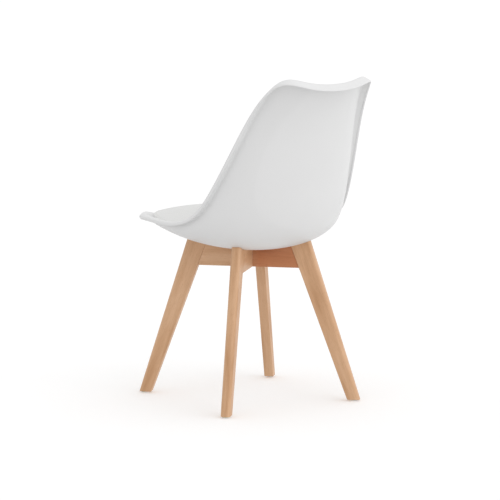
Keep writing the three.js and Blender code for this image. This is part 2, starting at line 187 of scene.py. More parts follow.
def shapeDisc(bm, placeFor):
    # each vertex goes from its reach and angle on the disc to its place on the piece
    places = {}
    for vert in bm.verts:
        reach = math.hypot(vert.co.x, vert.co.y)
        places[vert] = placeFor(reach, math.atan2(vert.co.y, vert.co.x))
    for vert, place in places.items():
        vert.co = place
    bm.normal_update()


def closeHole(bm):
    # shuts the open rim with a fan of triangles
    openEdges = [edge for edge in bm.edges if edge.is_boundary]
    filled = bmesh.ops.contextual_create(bm, geom=openEdges)["faces"]
    bmesh.ops.poke(bm, faces=filled)
    bmesh.ops.recalc_face_normals(bm, faces=bm.faces[:])


# Materials


def tone(red, green, blue):
    # a screen colour, 0 to 255, as the linear colour that shaders take
    def channel(value):
        value /= 255
        return value / 12.92 if value <= 0.04045 else ((value + 0.055) / 1.055) ** 2.4

    return (channel(red), channel(green), channel(blue), 1)


def newMaterial(name):
    material = bpy.data.materials.new(name)
    material.use_nodes = True
    tree = material.node_tree
    tree.nodes.clear()
    output = tree.nodes.new("ShaderNodeOutputMaterial")
    shader = tree.nodes.new("ShaderNodeBsdfPrincipled")
    tree.links.new(shader.outputs["BSDF"], output.inputs["Surface"])
    return material, tree, shader


def addNode(tree, kind, links=(), **settings):
    # links pairs an input's name with the output that feeds it, settings sets plain inputs
    node = tree.nodes.new(kind)
    for name, value in settings.items():
        setattr(node, name, value)
    for name, source in links:
        if isinstance(source, bpy.types.NodeSocket):
            tree.links.new(source, node.inputs[name])
        else:
            node.inputs[name].default_value = source
    return node


def objectCoords(tree):
    return tree.nodes.new("ShaderNodeTexCoord").outputs["Object"]


def noise(tree, coords, scale, detail=4.0, roughness=0.5):
    links = [("Vector", coords), ("Scale", scale), ("Detail", detail), ("Roughness", roughness)]
    return addNode(tree, "ShaderNodeTexNoise", links).outputs["Fac"]


def ramp(tree, source, stops):
    node = addNode(tree, "ShaderNodeValToRGB", [("Fac", source)])
    elements = node.color_ramp.elements
    while len(elements) > 1:
        elements.remove(elements[-1])
    elements[0].position = stops[0][0]
    elements[0].color = stops[0][1]
    for position, colour in stops[1:]:
        elements.new(position).color = colour
    return node.outputs["Color"]


def mapRange(tree, source, fromLow, fromHigh, toLow, toHigh):
    links = [("Value", source), ("From Min", fromLow), ("From Max", fromHigh),
             ("To Min", toLow), ("To Max", toHigh)]
    return addNode(tree, "ShaderNodeMapRange", links).outputs["Result"]


def mathNode(tree, operation, first, second=0.0):
    node = tree.nodes.new("ShaderNodeMath")
    node.operation = operation
    for index, value in enumerate((first, second)):
        if isinstance(value, bpy.types.NodeSocket):
            tree.links.new(value, node.inputs[index])
        else:
            node.inputs[index].default_value = value
    return node.outputs["Value"]


def addBump(tree, shader, height, strength, distance):
    links = [("Height", height), ("Strength", strength), ("Distance", distance)]
    bump = addNode(tree, "ShaderNodeBump", links)
    tree.links.new(bump.outputs["Normal"], shader.inputs["Normal"])
    return bump


shellFinish = {
    "colour": tone(237, 237, 237),
    "shade": tone(235, 235, 235),  # where the moulding is a touch duller
    "roughness": 0.42,
    "grainScale": 1500,  # grains per metre
    "grainDepth": 0.00006,
}


def shellPlastic():
    # satin polypropylene with a fine moulded texture
    material, tree, shader = newMaterial("shell_plastic")
    coords = objectCoords(tree)
    broad = noise(tree, coords, 5, 2)
    fine = noise(tree, coords, shellFinish["grainScale"], 2, 0.6)
    colour = ramp(tree, broad, [(0.35, shellFinish["shade"]), (0.65, shellFinish["colour"])])
    tree.links.new(colour, shader.inputs["Base Color"])
    rough = mapRange(tree, fine, 0.3, 0.7, shellFinish["roughness"] - 0.04,
                     shellFinish["roughness"] + 0.06)
    tree.links.new(rough, shader.inputs["Roughness"])
    addBump(tree, shader, fine, 0.35, shellFinish["grainDepth"])
    return material


leatherFinish = {
    "colour": tone(236, 236, 235),
    # painted shade for the valleys between the pebbles
    "valleyShade": tone(227, 227, 225),
    "pebbleScale": 620,
    "creaseScale": 190,
}


def padLeather():
    # pebbled PU leather: small rounded cells with softer creases between groups of them
    material, tree, shader = newMaterial("cover_leather")
    coords = objectCoords(tree)
    wobble = noise(tree, coords, 260, 2)
    pushed = addNode(tree, "ShaderNodeVectorMath", [(0, coords)], operation="MULTIPLY_ADD")
    pushed.inputs[1].default_value = (1, 1, 1)
    shifted = addNode(tree, "ShaderNodeCombineXYZ")
    small = mathNode(tree, "MULTIPLY", wobble, 0.0012)
    for axis in ("X", "Y", "Z"):
        tree.links.new(small, shifted.inputs[axis])
    tree.links.new(shifted.outputs["Vector"], pushed.inputs[2])
    cells = addNode(tree, "ShaderNodeTexVoronoi",
                    [("Vector", pushed.outputs["Vector"]), ("Scale", leatherFinish["pebbleScale"])],
                    feature="DISTANCE_TO_EDGE")
    pebble = mapRange(tree, cells.outputs["Distance"], 0.0, 0.28, 0.0, 1.0)
    crease = noise(tree, coords, leatherFinish["creaseScale"], 5, 0.6)
    height = mathNode(tree, "ADD", mathNode(tree, "MULTIPLY", pebble, 0.7),
                      mathNode(tree, "MULTIPLY", crease, 0.5))
    # painted shade: the colour darkens towards the valleys between the pebbles
    colour = ramp(tree, pebble, [(0.0, leatherFinish["valleyShade"]), (0.45, leatherFinish["colour"])])
    tree.links.new(colour, shader.inputs["Base Color"])
    tree.links.new(mapRange(tree, crease, 0.3, 0.7, 0.44, 0.58), shader.inputs["Roughness"])
    shader.inputs["Specular IOR Level"].default_value = 0.45
    addBump(tree, shader, height, 0.5, 0.00022)
    return material


beechFinish = {
    "light": tone(230, 188, 150),
    "middle": tone(219, 174, 134),
    "dark": tone(201, 153, 111),
    "fleck": tone(170, 116, 76),
    "roughness": 0.42,
}


def beechWood(name, along, seed, paintedShadeWarmth=0.0):
    # lacquered beech with its grain along one direction; paintedShadeWarmth pulls part of it towards
    # a darker red brown, as painted shade with warm bounce light
    material, tree, shader = newMaterial(name)
    turn = Vector(along).rotation_difference(Vector((0, 0, 1))).to_euler()
    turned = addNode(tree, "ShaderNodeMapping",
                     [("Vector", objectCoords(tree)), ("Rotation", turn),
                      ("Location", (seed * 1.7, seed * 0.9, seed * 2.3))]).outputs["Vector"]
    broadCoords = addNode(tree, "ShaderNodeMapping",
                          [("Vector", turned), ("Scale", (1, 1, 0.12))]).outputs["Vector"]
    fineCoords = addNode(tree, "ShaderNodeMapping",
                         [("Vector", turned), ("Scale", (1, 1, 0.035))]).outputs["Vector"]
    fleckCoords = addNode(tree, "ShaderNodeMapping",
                          [("Vector", turned), ("Scale", (1, 1, 0.16))]).outputs["Vector"]
    broad = noise(tree, broadCoords, 38, 3, 0.55)
    fine = noise(tree, fineCoords, 900, 3, 0.6)
    dashes = noise(tree, fleckCoords, 900, 1, 0.4)
    colour = ramp(tree, broad, [(0.3, beechFinish["dark"]), (0.48, beechFinish["middle"]),
                                (0.68, beechFinish["light"])])
    grain = addNode(tree, "ShaderNodeMix", data_type="RGBA", blend_type="MULTIPLY")
    grainTone = ramp(tree, fine, [(0.35, (0.86, 0.83, 0.8, 1)), (0.6, (1, 1, 1, 1))])
    grain.inputs["Factor"].default_value = 0.55
    tree.links.new(colour, grain.inputs["A"])
    tree.links.new(grainTone, grain.inputs["B"])
    flecked = addNode(tree, "ShaderNodeMix", data_type="RGBA", blend_type="MIX")
    tree.links.new(mapRange(tree, dashes, 0.62, 0.76, 0.0, 0.3), flecked.inputs["Factor"])
    tree.links.new(grain.outputs["Result"], flecked.inputs["A"])
    flecked.inputs["B"].default_value = beechFinish["fleck"]
    paintedShadeMix = addNode(tree, "ShaderNodeMix", data_type="RGBA", blend_type="MULTIPLY")
    # painted shade and warm bounce light: past the crossing, the piece is darker and redder on the
    # side that its grain points to
    upright = addNode(tree, "ShaderNodeMapping",
                      [("Vector", objectCoords(tree)), ("Rotation", turn)]).outputs["Vector"]
    lengthwise = addNode(tree, "ShaderNodeSeparateXYZ", [("Vector", upright)]).outputs["Z"]
    middle = Vector(along).dot(crossing)
    tree.links.new(mapRange(tree, lengthwise, middle - 0.03, middle + 0.03, 0.0, paintedShadeWarmth),
                   paintedShadeMix.inputs["Factor"])
    tree.links.new(flecked.outputs["Result"], paintedShadeMix.inputs["A"])
    paintedShadeMix.inputs["B"].default_value = (0.72, 0.42, 0.27, 1)
    tree.links.new(paintedShadeMix.outputs["Result"], shader.inputs["Base Color"])
    tree.links.new(mapRange(tree, fine, 0.3, 0.7, beechFinish["roughness"] + 0.08,
                            beechFinish["roughness"]), shader.inputs["Roughness"])
    addBump(tree, shader, fine, 0.25, 0.00008)
    return material


def plainWood(name, light, dark, layers):
    # raw plywood, with its layers across Z, or the pale wood of a dowel
    material, tree, shader = newMaterial(name)
    coords = objectCoords(tree)
    wave = addNode(tree, "ShaderNodeTexWave", [("Vector", coords), ("Scale", layers),
                                               ("Distortion", 1.5), ("Detail", 2)],
                   wave_type="BANDS", bands_direction="Z")
    tree.links.new(ramp(tree, wave.outputs["Fac"], [(0.3, dark), (0.7, light)]),
                   shader.inputs["Base Color"])
    shader.inputs["Roughness"].default_value = 0.75
    addBump(tree, shader, noise(tree, coords, 700, 3), 0.3, 0.0001)
    return material


def metal(name, colour, dull, roughness):
    # plated or turned metal, a little duller in patches
    material, tree, shader = newMaterial(name)
    coords = objectCoords(tree)
    patches = noise(tree, coords, 240, 4)
    tree.links.new(ramp(tree, patches, [(0.35, dull), (0.65, colour)]), shader.inputs["Base Color"])
    tree.links.new(mapRange(tree, patches, 0.3, 0.7, roughness + 0.12, roughness),
                   shader.inputs["Roughness"])
    shader.inputs["Metallic"].default_value = 1
    addBump(tree, shader, noise(tree, coords, 1800, 2), 0.2, 0.00003)
    return material


def glidePlastic():
    # milky nylon
    material, tree, shader = newMaterial("glide_plastic")
    coords = objectCoords(tree)
    cloudy = noise(tree, coords, 180, 3)
    tree.links.new(ramp(tree, cloudy, [(0.35, tone(226, 224, 218)), (0.65, tone(238, 237, 232))]),
                   shader.inputs["Base Color"])
    shader.inputs["Roughness"].default_value = 0.35
    shader.inputs["Subsurface Weight"].default_value = 0.25
    shader.inputs["Subsurface Scale"].default_value = 0.002
    addBump(tree, shader, noise(tree, coords, 1500, 2), 0.2, 0.00004)
    return material


def stitchThread():
    # twisted thread, a shade greyer than the cover
    material, tree, shader = newMaterial("stitch_thread")
    coords = objectCoords(tree)
    twist = noise(tree, coords, 2400, 2)
    tree.links.new(ramp(tree, twist, [(0.3, tone(205, 205, 202)), (0.7, tone(226, 226, 223))]),
                   shader.inputs["Base Color"])
    shader.inputs["Roughness"].default_value = 0.7
    addBump(tree, shader, twist, 0.5, 0.0001)
    return material


shellMaterial = shellPlastic()
leatherMaterial = padLeather()
steelMaterial = metal("zinc_steel", tone(196, 198, 201), tone(160, 162, 166), 0.3)
brassMaterial = metal("brass_insert", tone(206, 170, 96), tone(170, 136, 74), 0.28)
glideMaterial = glidePlastic()
threadMaterial = stitchThread()
plywoodMaterial = plainWood("board_plywood", tone(214, 184, 142), tone(176, 138, 96), 260)
dowelMaterial = plainWood("dowel_beech", tone(216, 180, 142), tone(196, 156, 118), 40)
print("materials ready")


# Bucket

bucket = {
    "width": 0.464, "depth": 0.541, "rise": 0.422, "floor": 0.379, "front": -0.194,
    "wall": 0.004,
    "rimPower": 4.1,  # how square the rim's outline is
    "rimCentre": 0.38,  # where the rings start, between the front and the top
    "edgeRadius": 0.007,
    "edgeTurn": {"front": 95, "side": 90, "top": 101},
    "edgeLip": {"front": 0.012, "side": 0.0085, "top": 0.0195},
    "rollRadius": 0.004,
    "rollTurn": {"front": 75, "side": 98, "top": 22},  # degrees, how far the lip's end rolls over
    "rollDrop": {"front": 0.004, "side": 0.0035, "top": 0.001},
    "segments": 240, "rings": 36, "edgeSteps": 7, "lipSteps": 3, "rollSteps": 5, "lipRound": 0.0014,
}
# One row for each section, front to back: the middle and the rim as shares of the depth, rise and
# half width, how far the floor runs level, and how late it turns up.
stations = [
    {"spine": (0, 0.137), "rim": (0.8, -0.006, 0.228), "flat": 0.64, "lift": 0.39},
    {"spine": (0.096, 0.102), "rim": (0.93, 0.096, 0.191), "flat": 0.6, "lift": 0.43},
    {"spine": (0.277, 0.047), "rim": (1, 0.244, 0.178), "flat": 0.575, "lift": 0.46},
    {"spine": (0.473, 0), "rim": (0.975, 0.405, 0.161), "flat": 0.57, "lift": 0.485},
    {"spine": (0.654, 0.036), "rim": (0.88, 0.534, 0.211), "flat": 0.58, "lift": 0.48},
    {"spine": (0.765, 0.256), "rim": (0.805, 0.63, 0.379), "flat": 0.585, "lift": 0.405},
    {"spine": (0.834, 0.54), "rim": (0.705, 0.728, 0.614), "flat": 0.64, "lift": 0.35},
    {"spine": (0.904, 0.796), "rim": (0.6, 0.821, 0.874), "flat": 0.74, "lift": 0.35},
    {"spine": (1, 1), "rim": (0.505, 0.95, 1.128), "flat": 0.83, "lift": 0.37},
]


def stationRow(station):
    spineY, spineZ = station["spine"]
    rimX, rimY, rimZ = station["rim"]
    return (
        bucket["front"] + spineY * bucket["depth"],
        bucket["floor"] + spineZ * bucket["rise"],
        rimX * bucket["width"] / 2,
        bucket["front"] + rimY * bucket["depth"],
        bucket["floor"] + rimZ * bucket["rise"],
        station["flat"],
        station["lift"],
    )


stationRows = [stationRow(station) for station in stations]


def carryOn(end, before):
    return tuple(2 * a - b for a, b in zip(end, before))


knots = [carryOn(stationRows[0], stationRows[1]), *stationRows,
         carryOn(stationRows[-1], stationRows[-2])]


def stationAt(place):
    # smooth values between the sections, by a cubic B-spline
    spans = len(stations) - 1
    scaled = min(max(place * spans, 0), spans - 1e-9)
    index = int(scaled)
    t = scaled - index
    weights = ((1 - t) ** 3, 3 * t**3 - 6 * t**2 + 4, -3 * t**3 + 3 * t**2 + 3 * t + 1, t**3)
    rows = knots[index:index + 4]
    return [sum(w * row[column] for w, row in zip(weights, rows)) / 6 for column in range(7)]


def wallPoint(across, place):
    spineY, spineZ, rimX, rimY, rimZ, flat, lift = stationAt(place)
    t = abs(across)
    out = 3 * (1 - t) ** 2 * t * flat + 3 * (1 - t) * t**2 + t**3
    rise = 3 * (1 - t) * t**2 * (1 - lift) + t**3
    return crossing + Vector((math.copysign(rimX * out, across),
                              spineY + (rimY - spineY) * rise,
                              spineZ + (rimZ - spineZ) * rise))


def squared(angle, power):
    # reach of a rounded square's outline at an angle
    return (abs(math.cos(angle)) ** power + abs(math.sin(angle)) ** power) ** (-1 / power)


def ringPoint(share, angle):
    reach = share * squared(angle, bucket["rimPower"])
    start = bucket["rimCentre"]
    room = 1 - start if math.sin(angle) > 0 else start
    return wallPoint(reach * math.cos(angle), start + reach * math.sin(angle) * room)


def edgeValue(values, angle):
    s = math.sin(angle)
    other = values["top"] if s > 0 else values["front"]
    return values["side"] + (other - values["side"]) * s * s


def edgePoint(beyond, angle):
    # past the rim, the wall turns outwards on a radius and then runs straight to its lip
    near = 1e-3
    rim = ringPoint(1, angle)
    along = (ringPoint(1, angle + near) - ringPoint(1, angle - near)).normalized()
    outwards = rim - ringPoint(1 - near, angle)
    below = along.cross(outwards).normalized()
    outwards = below.cross(along)
    turn = math.radians(edgeValue(bucket["edgeTurn"], angle))
    bent = min(beyond / bucket["edgeSteps"], 1) * turn
    radius = bucket["edgeRadius"]
    straight = min(max(beyond - bucket["edgeSteps"], 0) / bucket["lipSteps"], 1)
    roll = bucket["rollRadius"]
    lip = straight * (edgeValue(bucket["edgeLip"], angle) - roll)
    out = radius * math.sin(bent) + lip * math.cos(bent)
    down = radius * (1 - math.cos(bent)) + lip * math.sin(bent)
    past = max(beyond - bucket["edgeSteps"] - bucket["lipSteps"], 0)
    rolled = min(past / bucket["rollSteps"], 1) * math.radians(edgeValue(bucket["rollTurn"], angle))
    drop = max(past - bucket["rollSteps"], 0) * edgeValue(bucket["rollDrop"], angle)
    out += roll * (math.sin(bent + rolled) - math.sin(bent)) + drop * math.cos(bent + rolled)
    down += roll * (math.cos(bent) - math.cos(bent + rolled)) + drop * math.sin(bent + rolled)
    return rim + outwards * out + below * down


def bucketDisc(withEdge):
    rings = bucket["rings"]
    reaches = [(i + 1) / rings for i in range(rings)]
    steps = bucket["edgeSteps"] + bucket["lipSteps"] + bucket["rollSteps"] + 1 if withEdge else 0
    reaches += [1 + i + 1 for i in range(steps)]

    def placeFor(reach, angle):
        if reach <= 1.0001:
            return ringPoint(min(reach, 1), angle)
        return edgePoint(round(reach - 1), angle)

    bm = ringDisc(bucket["segments"], reaches)
    shapeDisc(bm, placeFor)
    return bm


gap = 0.0003  # between touching pieces


def bowlCutter(name, distance):
    # all the space on the sitter's side of the wall, from a little below it
    bm = bucketDisc(False)
    for vert in bm.verts:
        vert.co -= vert.normal * distance
    farAbove = crossing + Vector((0, bucket["front"] - bucket["depth"],
                                  bucket["floor"] + 4 * bucket["rise"]))
    rimEdges = [edge for edge in bm.edges if edge.is_boundary]
    grown = bmesh.ops.extrude_edge_only(bm, edges=rimEdges)["geom"]
    newVerts = [item for item in grown if isinstance(item, bmesh.types.BMVert)]
    bmesh.ops.pointmerge(bm, verts=newVerts, merge_co=farAbove)
    bmesh.ops.recalc_face_normals(bm, faces=bm.faces[:])
    cutter = finishMesh(name, bm, None)
    cutter.hide_render = True
    cutter["keepCutter"] = True
    return cutter


underCutter = bowlCutter("under_bucket", bucket["wall"] / 2 + gap)

wallSheet = bucketDisc(True)
wallTree = BVHTree.FromBMesh(wallSheet)
wallSheet.free()


def restHeight(x, y, clear):
    # how high something rests over a point given from the crossing, clear of the bucket's middle
    start = crossing + Vector((x, y, bucket["floor"] + bucket["rise"] / 3))
    hit, normal = wallTree.ray_cast(start, Vector((0, 0, -1)))[:2]
    if hit is None:
        return bucket["floor"]
    return hit.z + clear / max(abs(normal.z), 0.35)


screws = {
    "places": [(0, -0.108), (0.108, 0), (0, 0.078), (-0.108, 0)],
    "holeRadius": 0.0041, "shaftRadius": 0.0023, "postRadius": 0.0075, "postRoof": 0.0063,
}
bosses = {"radius": 0.008, "bore": 0.0048}
belowBucket = 0.3  # where cuts from underneath start
boardPlane = {"height": 0.433, "slope": -0.08, "middle": -0.0145}


def underBoard(y):
    # height of the pad's board over a point, measured from the crossing
    return boardPlane["height"] + boardPlane["slope"] * (y - boardPlane["middle"])


def roundRod(x, y, bottom, top, radius, segments=32):
    # an upright closed cylinder about a point given from the crossing
    bm = bmesh.new()
    made = bmesh.ops.create_cone(bm, cap_ends=True, segments=segments, radius1=radius,
                                 radius2=radius, depth=top - bottom)
    bmesh.ops.translate(bm, vec=crossing + Vector((x, y, (bottom + top) / 2)), verts=made["verts"])
    return bm


def makeShell():
    shell = finishMesh("shell", bucketDisc(True), shellMaterial)
    wall = shell.modifiers.new("wall", "SOLIDIFY")
    wall.thickness = bucket["wall"]
    wall.offset = 0
    wall.use_even_offset = True
    wall.use_quality_normals = True
    lipRound = shell.modifiers.new("lip", "BEVEL")
    lipRound.limit_method = "ANGLE"
    lipRound.angle_limit = math.radians(60)
    lipRound.width = bucket["lipRound"]
    lipRound.segments = 4
    lipRound.profile = 0.5
    bakeModifiers(shell)
    # posts stand under the pad's board, and bosses hang round the threaded inserts
    additions = []
    cutters = []
    for x, y in screws["places"]:
        post = roundRod(x, y, restHeight(x, y, 0), underBoard(y) - gap, screws["postRadius"])
        additions.append(finishMesh("post", post, shellMaterial))
        roof = underBoard(y) - screws["postRoof"]
        hole = roundRod(x, y, belowBucket, roof, screws["holeRadius"])
        cutters.append(finishMesh("hole", hole, None))
        shaft = roundRod(x, y, belowBucket, underBoard(y) + gap, screws["shaftRadius"], 20)
        cutters.append(finishMesh("shaft", shaft, None))
    for index in range(1, 5):
        low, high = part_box(f"threaded_insert_{index}")
        x, y = (middleOf(f"threaded_insert_{index}") - crossing).xy
        boss = roundRod(x, y, low.z, restHeight(x, y, 0), bosses["radius"])
        additions.append(finishMesh("boss", boss, shellMaterial))
        bore = roundRod(x, y, low.z - 0.001, high.z + gap, bosses["bore"])
        cutters.append(finishMesh("bore", bore, None))
    combine(shell, additions, "UNION")
    cutWith(shell, cutters)
    shadeByAngle(shell, 35)
    return settle(shell, "shell_plastic", "seat_shell")


shell = makeShell()
print("bucket made")


# Frame

legSizes = {
    "thickness": 0.024, "railUnderside": 0.332, "jointRadius": 0.129, "shoulder": 0.049,
    "footRadius": 0.269, "footWidth": 0.031, "footTop": 0.0035,
    "outerRound": 0.0085, "innerRound": 0.0012, "footRound": 0.001,
}
railSizes = {"thickness": 0.024, "lapHeight": 0.3555, "edgeRound": 0.0012}
tallest = 0.52  # above any part of the bucket that the frame meets
creaseAngle = 28  # degrees, between edges shaded smooth and edges left sharp on the wood


def innerReach(height):
    foot = legSizes["footRadius"] - legSizes["footWidth"] / 2
    return foot + (legSizes["jointRadius"] - foot) * height / legSizes["railUnderside"]


def outerReach(height):
    foot = legSizes["footRadius"] + legSizes["footWidth"] / 2
    shoulder = legSizes["jointRadius"] + legSizes["shoulder"]
    return foot + (shoulder - foot) * height / legSizes["railUnderside"]


def inPlane(degrees, out, up, aside=0.0):
    # a point of the upright plane through one leg
    angle = math.radians(degrees)
    return crossing + Vector((out * math.cos(angle) - aside * math.sin(angle),
                              out * math.sin(angle) + aside * math.cos(angle), up))


def planeBoard(degrees, outline, thickness):
    # a board from the four corners of its face, which are (out, up) pairs
    bm = bmesh.new()
    corners = [bm.verts.new(inPlane(degrees, out, up, -thickness / 2)) for out, up in outline]
    face = bm.faces.new(corners)
    moved = bmesh.ops.extrude_face_region(bm, geom=[face])["geom"]
    newVerts = [item for item in moved if isinstance(item, bmesh.types.BMVert)]
    acrossBoard = inPlane(degrees, 0, 0, thickness) - inPlane(degrees, 0, 0)
    bmesh.ops.translate(bm, vec=acrossBoard, verts=newVerts)
    bmesh.ops.recalc_face_normals(bm, faces=bm.faces[:])
    return bm


def roundEdges(bm, edges, offset, segments):
    bmesh.ops.bevel(bm, geom=edges, offset=offset, segments=segments, profile=0.5,
                    affect="EDGES", material=-1, clamp_overlap=True)


def isLong(edge, least=0.2):
    return edge.calc_length() > least


def radiusOf(vert):
    return (vert.co - crossing).xy.length


def makeLeg(corner):
    degrees = cornerAngles[corner]
    bottom = legSizes["footTop"]
    outline = [(innerReach(bottom), bottom), (outerReach(bottom), bottom),
               (outerReach(tallest), tallest), (innerReach(tallest), tallest)]
    bm = planeBoard(degrees, outline, legSizes["thickness"])
    outerEdges = [edge for edge in bm.edges if isLong(edge)]
    outerEdges.sort(key=lambda edge: -sum(radiusOf(vert) for vert in edge.verts))
    outer = set(outerEdges[:2])
    inner = set(outerEdges[2:4])
    roundEdges(bm, list(outer), legSizes["outerRound"], 8)
    roundEdges(bm, [edge for edge in inner if edge.is_valid], legSizes["innerRound"], 3)
    footEdges = [edge for edge in bm.edges
                 if all(vert.co.z < bottom + 1e-4 for vert in edge.verts)]
    roundEdges(bm, footEdges, legSizes["footRound"], 3)
    top = legSizes["railUnderside"]
    along = inPlane(degrees, innerReach(top), top) - inPlane(degrees, innerReach(0), 0)
    seed = list(cornerAngles).index(corner) + 1
    material = beechWood(f"beech_leg_{corner}", along.normalized(), seed, 0)
    leg = finishMesh(f"leg_{corner}_wood", bm, material)
    cutWith(leg, [underCutter])
    shadeByAngle(leg, creaseAngle)
    return settle(leg, "beech", f"leg_{corner}")


def makeRail(name, degrees, lapFrom, lapTo, seed, paintedShadeWarmth):
    low = legSizes["railUnderside"]
    reach = innerReach(low) - gap
    highReach = innerReach(tallest) - gap
    bm = planeBoard(degrees, [(-reach, low), (reach, low), (highReach, tallest),
                              (-highReach, tallest)], railSizes["thickness"])
    underEdges = [edge for edge in bm.edges
                  if isLong(edge) and all(vert.co.z < low + 1e-4 for vert in edge.verts)]
    roundEdges(bm, underEdges, railSizes["edgeRound"], 3)
    along = inPlane(degrees, 1, 0) - inPlane(degrees, 0, 0)
    material = beechWood(f"beech_{name}", along, seed, paintedShadeWarmth)
    rail = finishMesh(f"{name}_wood", bm, material)
    half = railSizes["thickness"] / 2 + gap
    lap = planeBoard(degrees, [(-half, lapFrom), (half, lapFrom), (half, lapTo), (-half, lapTo)],
                     2 * railSizes["thickness"])
    cutters = [finishMesh("lap", lap, None), underCutter]
    for way in (0, 180):
        cutters += boltCutters(degrees + way)
    cutWith(rail, cutters)
    shadeByAngle(rail, creaseAngle)
    return settle(rail, "beech", name)


bolts = {
    "reach": 0.078, "radius": 0.003, "headRadius": 0.0052, "headHeight": 0.0036,
    "hexRadius": 0.0023, "hexDepth": 0.0022, "sinkRadius": 0.0066, "bossRadius": 0.0083,
}
boltCorners = ["rear_left", "rear_right", "front_right", "front_left"]


def washerSeat(index):
    low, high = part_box(f"flat_washer_{index}")
    return high.z + gap


def boltCutters(degrees):
    index = [cornerAngles[corner] for corner in boltCorners].index(degrees % 360) + 1
    place = inPlane(degrees, bolts["reach"], 0) - crossing
    seat = washerSeat(index)
    low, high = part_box(f"threaded_insert_{index}")
    sink = roundRod(place.x, place.y, legSizes["railUnderside"] - 0.001, seat, bolts["sinkRadius"])
    pocket = roundRod(place.x, place.y, low.z - gap, tallest, bolts["bossRadius"])
    return [finishMesh("sink", sink, None), finishMesh("pocket", pocket, None)]


for corner in cornerAngles:
    makeLeg(corner)
# the lower rail gets painted shade and warm bounce light in its colour on one half
makeRail("cross_rail_lower", 135, railSizes["lapHeight"], tallest + 0.001, 11, 0.9)
makeRail("cross_rail_upper", 45, belowBucket, railSizes["lapHeight"] + gap, 12, 0.0)
print("beech frame made")


# Fastenings and feet, each a profile turned about an upright line


def turnedPiece(name, profile, place, material, segments=40, closed=False):
    bm = bmesh.new()
    verts = [bm.verts.new((radius, 0, height)) for radius, height in profile]
    pairs = list(zip(verts, verts[1:]))
    if closed:
        pairs.append((verts[-1], verts[0]))
    edges = [bm.edges.new(pair) for pair in pairs]
    bmesh.ops.spin(bm, geom=verts + edges, cent=(0, 0, 0), axis=(0, 0, 1), dvec=(0, 0, 0),
                   angle=2 * math.pi, steps=segments, use_merge=True)
    bmesh.ops.remove_doubles(bm, verts=bm.verts[:], dist=1e-6)
    bmesh.ops.recalc_face_normals(bm, faces=bm.faces[:])
    bmesh.ops.translate(bm, vec=Vector((place.x, place.y, 0)), verts=bm.verts[:])
    return finishMesh(name, bm, material)


def makeBolt(index):
    node = f"frame_bolt_{index}"
    low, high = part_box(node)
    head = bolts["headRadius"]
    tall = bolts["headHeight"]
    profile = [(0, low.z), (head * 0.62, low.z), (head * 0.8, low.z + tall * 0.06),
               (head * 0.95, low.z + tall * 0.25), (head, low.z + tall * 0.5),
               (head, low.z + tall * 0.97), (head * 0.98, low.z + tall),
               (bolts["radius"], low.z + tall), (bolts["radius"], high.z - 0.001),
               (bolts["radius"] - 0.001, high.z), (0, high.z)]
    bolt = turnedPiece(f"{node}_head", profile, middleOf(node), steelMaterial)
    place = middleOf(node) - crossing
    hexagon = roundRod(place.x, place.y, low.z - 0.001, low.z + bolts["hexDepth"],
                       bolts["hexRadius"], 6)
    cutWith(bolt, [finishMesh("hexagon", hexagon, None)])
    shadeByAngle(bolt, 30)
    settle(bolt, "zinc_steel", node)


washers = {"hole": 0.0033, "flatRadius": 0.006, "flatRound": 0.00025, "springRadius": 0.0052,
           "springRound": 0.0002, "slit": (0.008, 0.0008, 0.006)}


def makeWasher(node, outer, rounding):
    low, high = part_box(node)
    inner = washers["hole"]
    profile = [(inner, low.z), (outer - rounding, low.z), (outer, low.z + rounding),
               (outer, high.z - rounding), (outer - rounding, high.z), (inner, high.z)]
    return turnedPiece(f"{node}_ring", profile, middleOf(node), steelMaterial, closed=True)


for index in range(1, 5):
    makeBolt(index)
    flat = makeWasher(f"flat_washer_{index}", washers["flatRadius"], washers["flatRound"])
    settle(shadeByAngle(flat, 30), "zinc_steel", f"flat_washer_{index}")
    node = f"spring_washer_{index}"
    spring = makeWasher(node, washers["springRadius"], washers["springRound"])
    place = middleOf(f"flat_washer_{index}")
    slit = bmesh.new()
    bmesh.ops.create_cube(slit, size=1)
    bmesh.ops.scale(slit, vec=washers["slit"], verts=slit.verts[:])
    bmesh.ops.translate(slit, vec=Vector((place.x + washers["slit"][0] / 2, place.y,
                                          middleOf(node).z)), verts=slit.verts[:])
    cutWith(spring, [finishMesh("slit", slit, None)])
    settle(shadeByAngle(spring, 30), "zinc_steel", node)

screwSizes = {"headRadius": 0.0038, "headHeight": 0.0024, "shank": 0.002, "point": 0.002,
              "slot": (0.0042, 0.0008, 0.003)}
for index in range(1, 5):
    node = f"cushion_screw_{index}"
    low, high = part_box(node)
    profile = [(0, low.z), (0.0022, low.z + 0.0001), (0.0034, low.z + 0.0007),
               (screwSizes["headRadius"], low.z + 0.0014),
               (screwSizes["headRadius"], low.z + screwSizes["headHeight"]),
               (screwSizes["shank"], low.z + screwSizes["headHeight"]),
               (screwSizes["shank"], high.z - screwSizes["point"]), (0, high.z)]
    screw = turnedPiece(f"{node}_head", profile, middleOf(node), steelMaterial, 32)
    blades = []
    for degrees in (0, 90):
        blade = bmesh.new()
        bmesh.ops.create_cube(blade, size=1)
        bmesh.ops.scale(blade, vec=screwSizes["slot"], verts=blade.verts[:])
        bmesh.ops.rotate(blade, matrix=Matrix.Rotation(math.radians(degrees), 3, "Z"),
                         verts=blade.verts[:])
        place = middleOf(node)
        bmesh.ops.translate(blade, vec=Vector((place.x, place.y, low.z)), verts=blade.verts[:])
        blades.append(finishMesh("blade", blade, None))
    cutWith(screw, blades)
    settle(shadeByAngle(screw, 30), "zinc_steel", node)

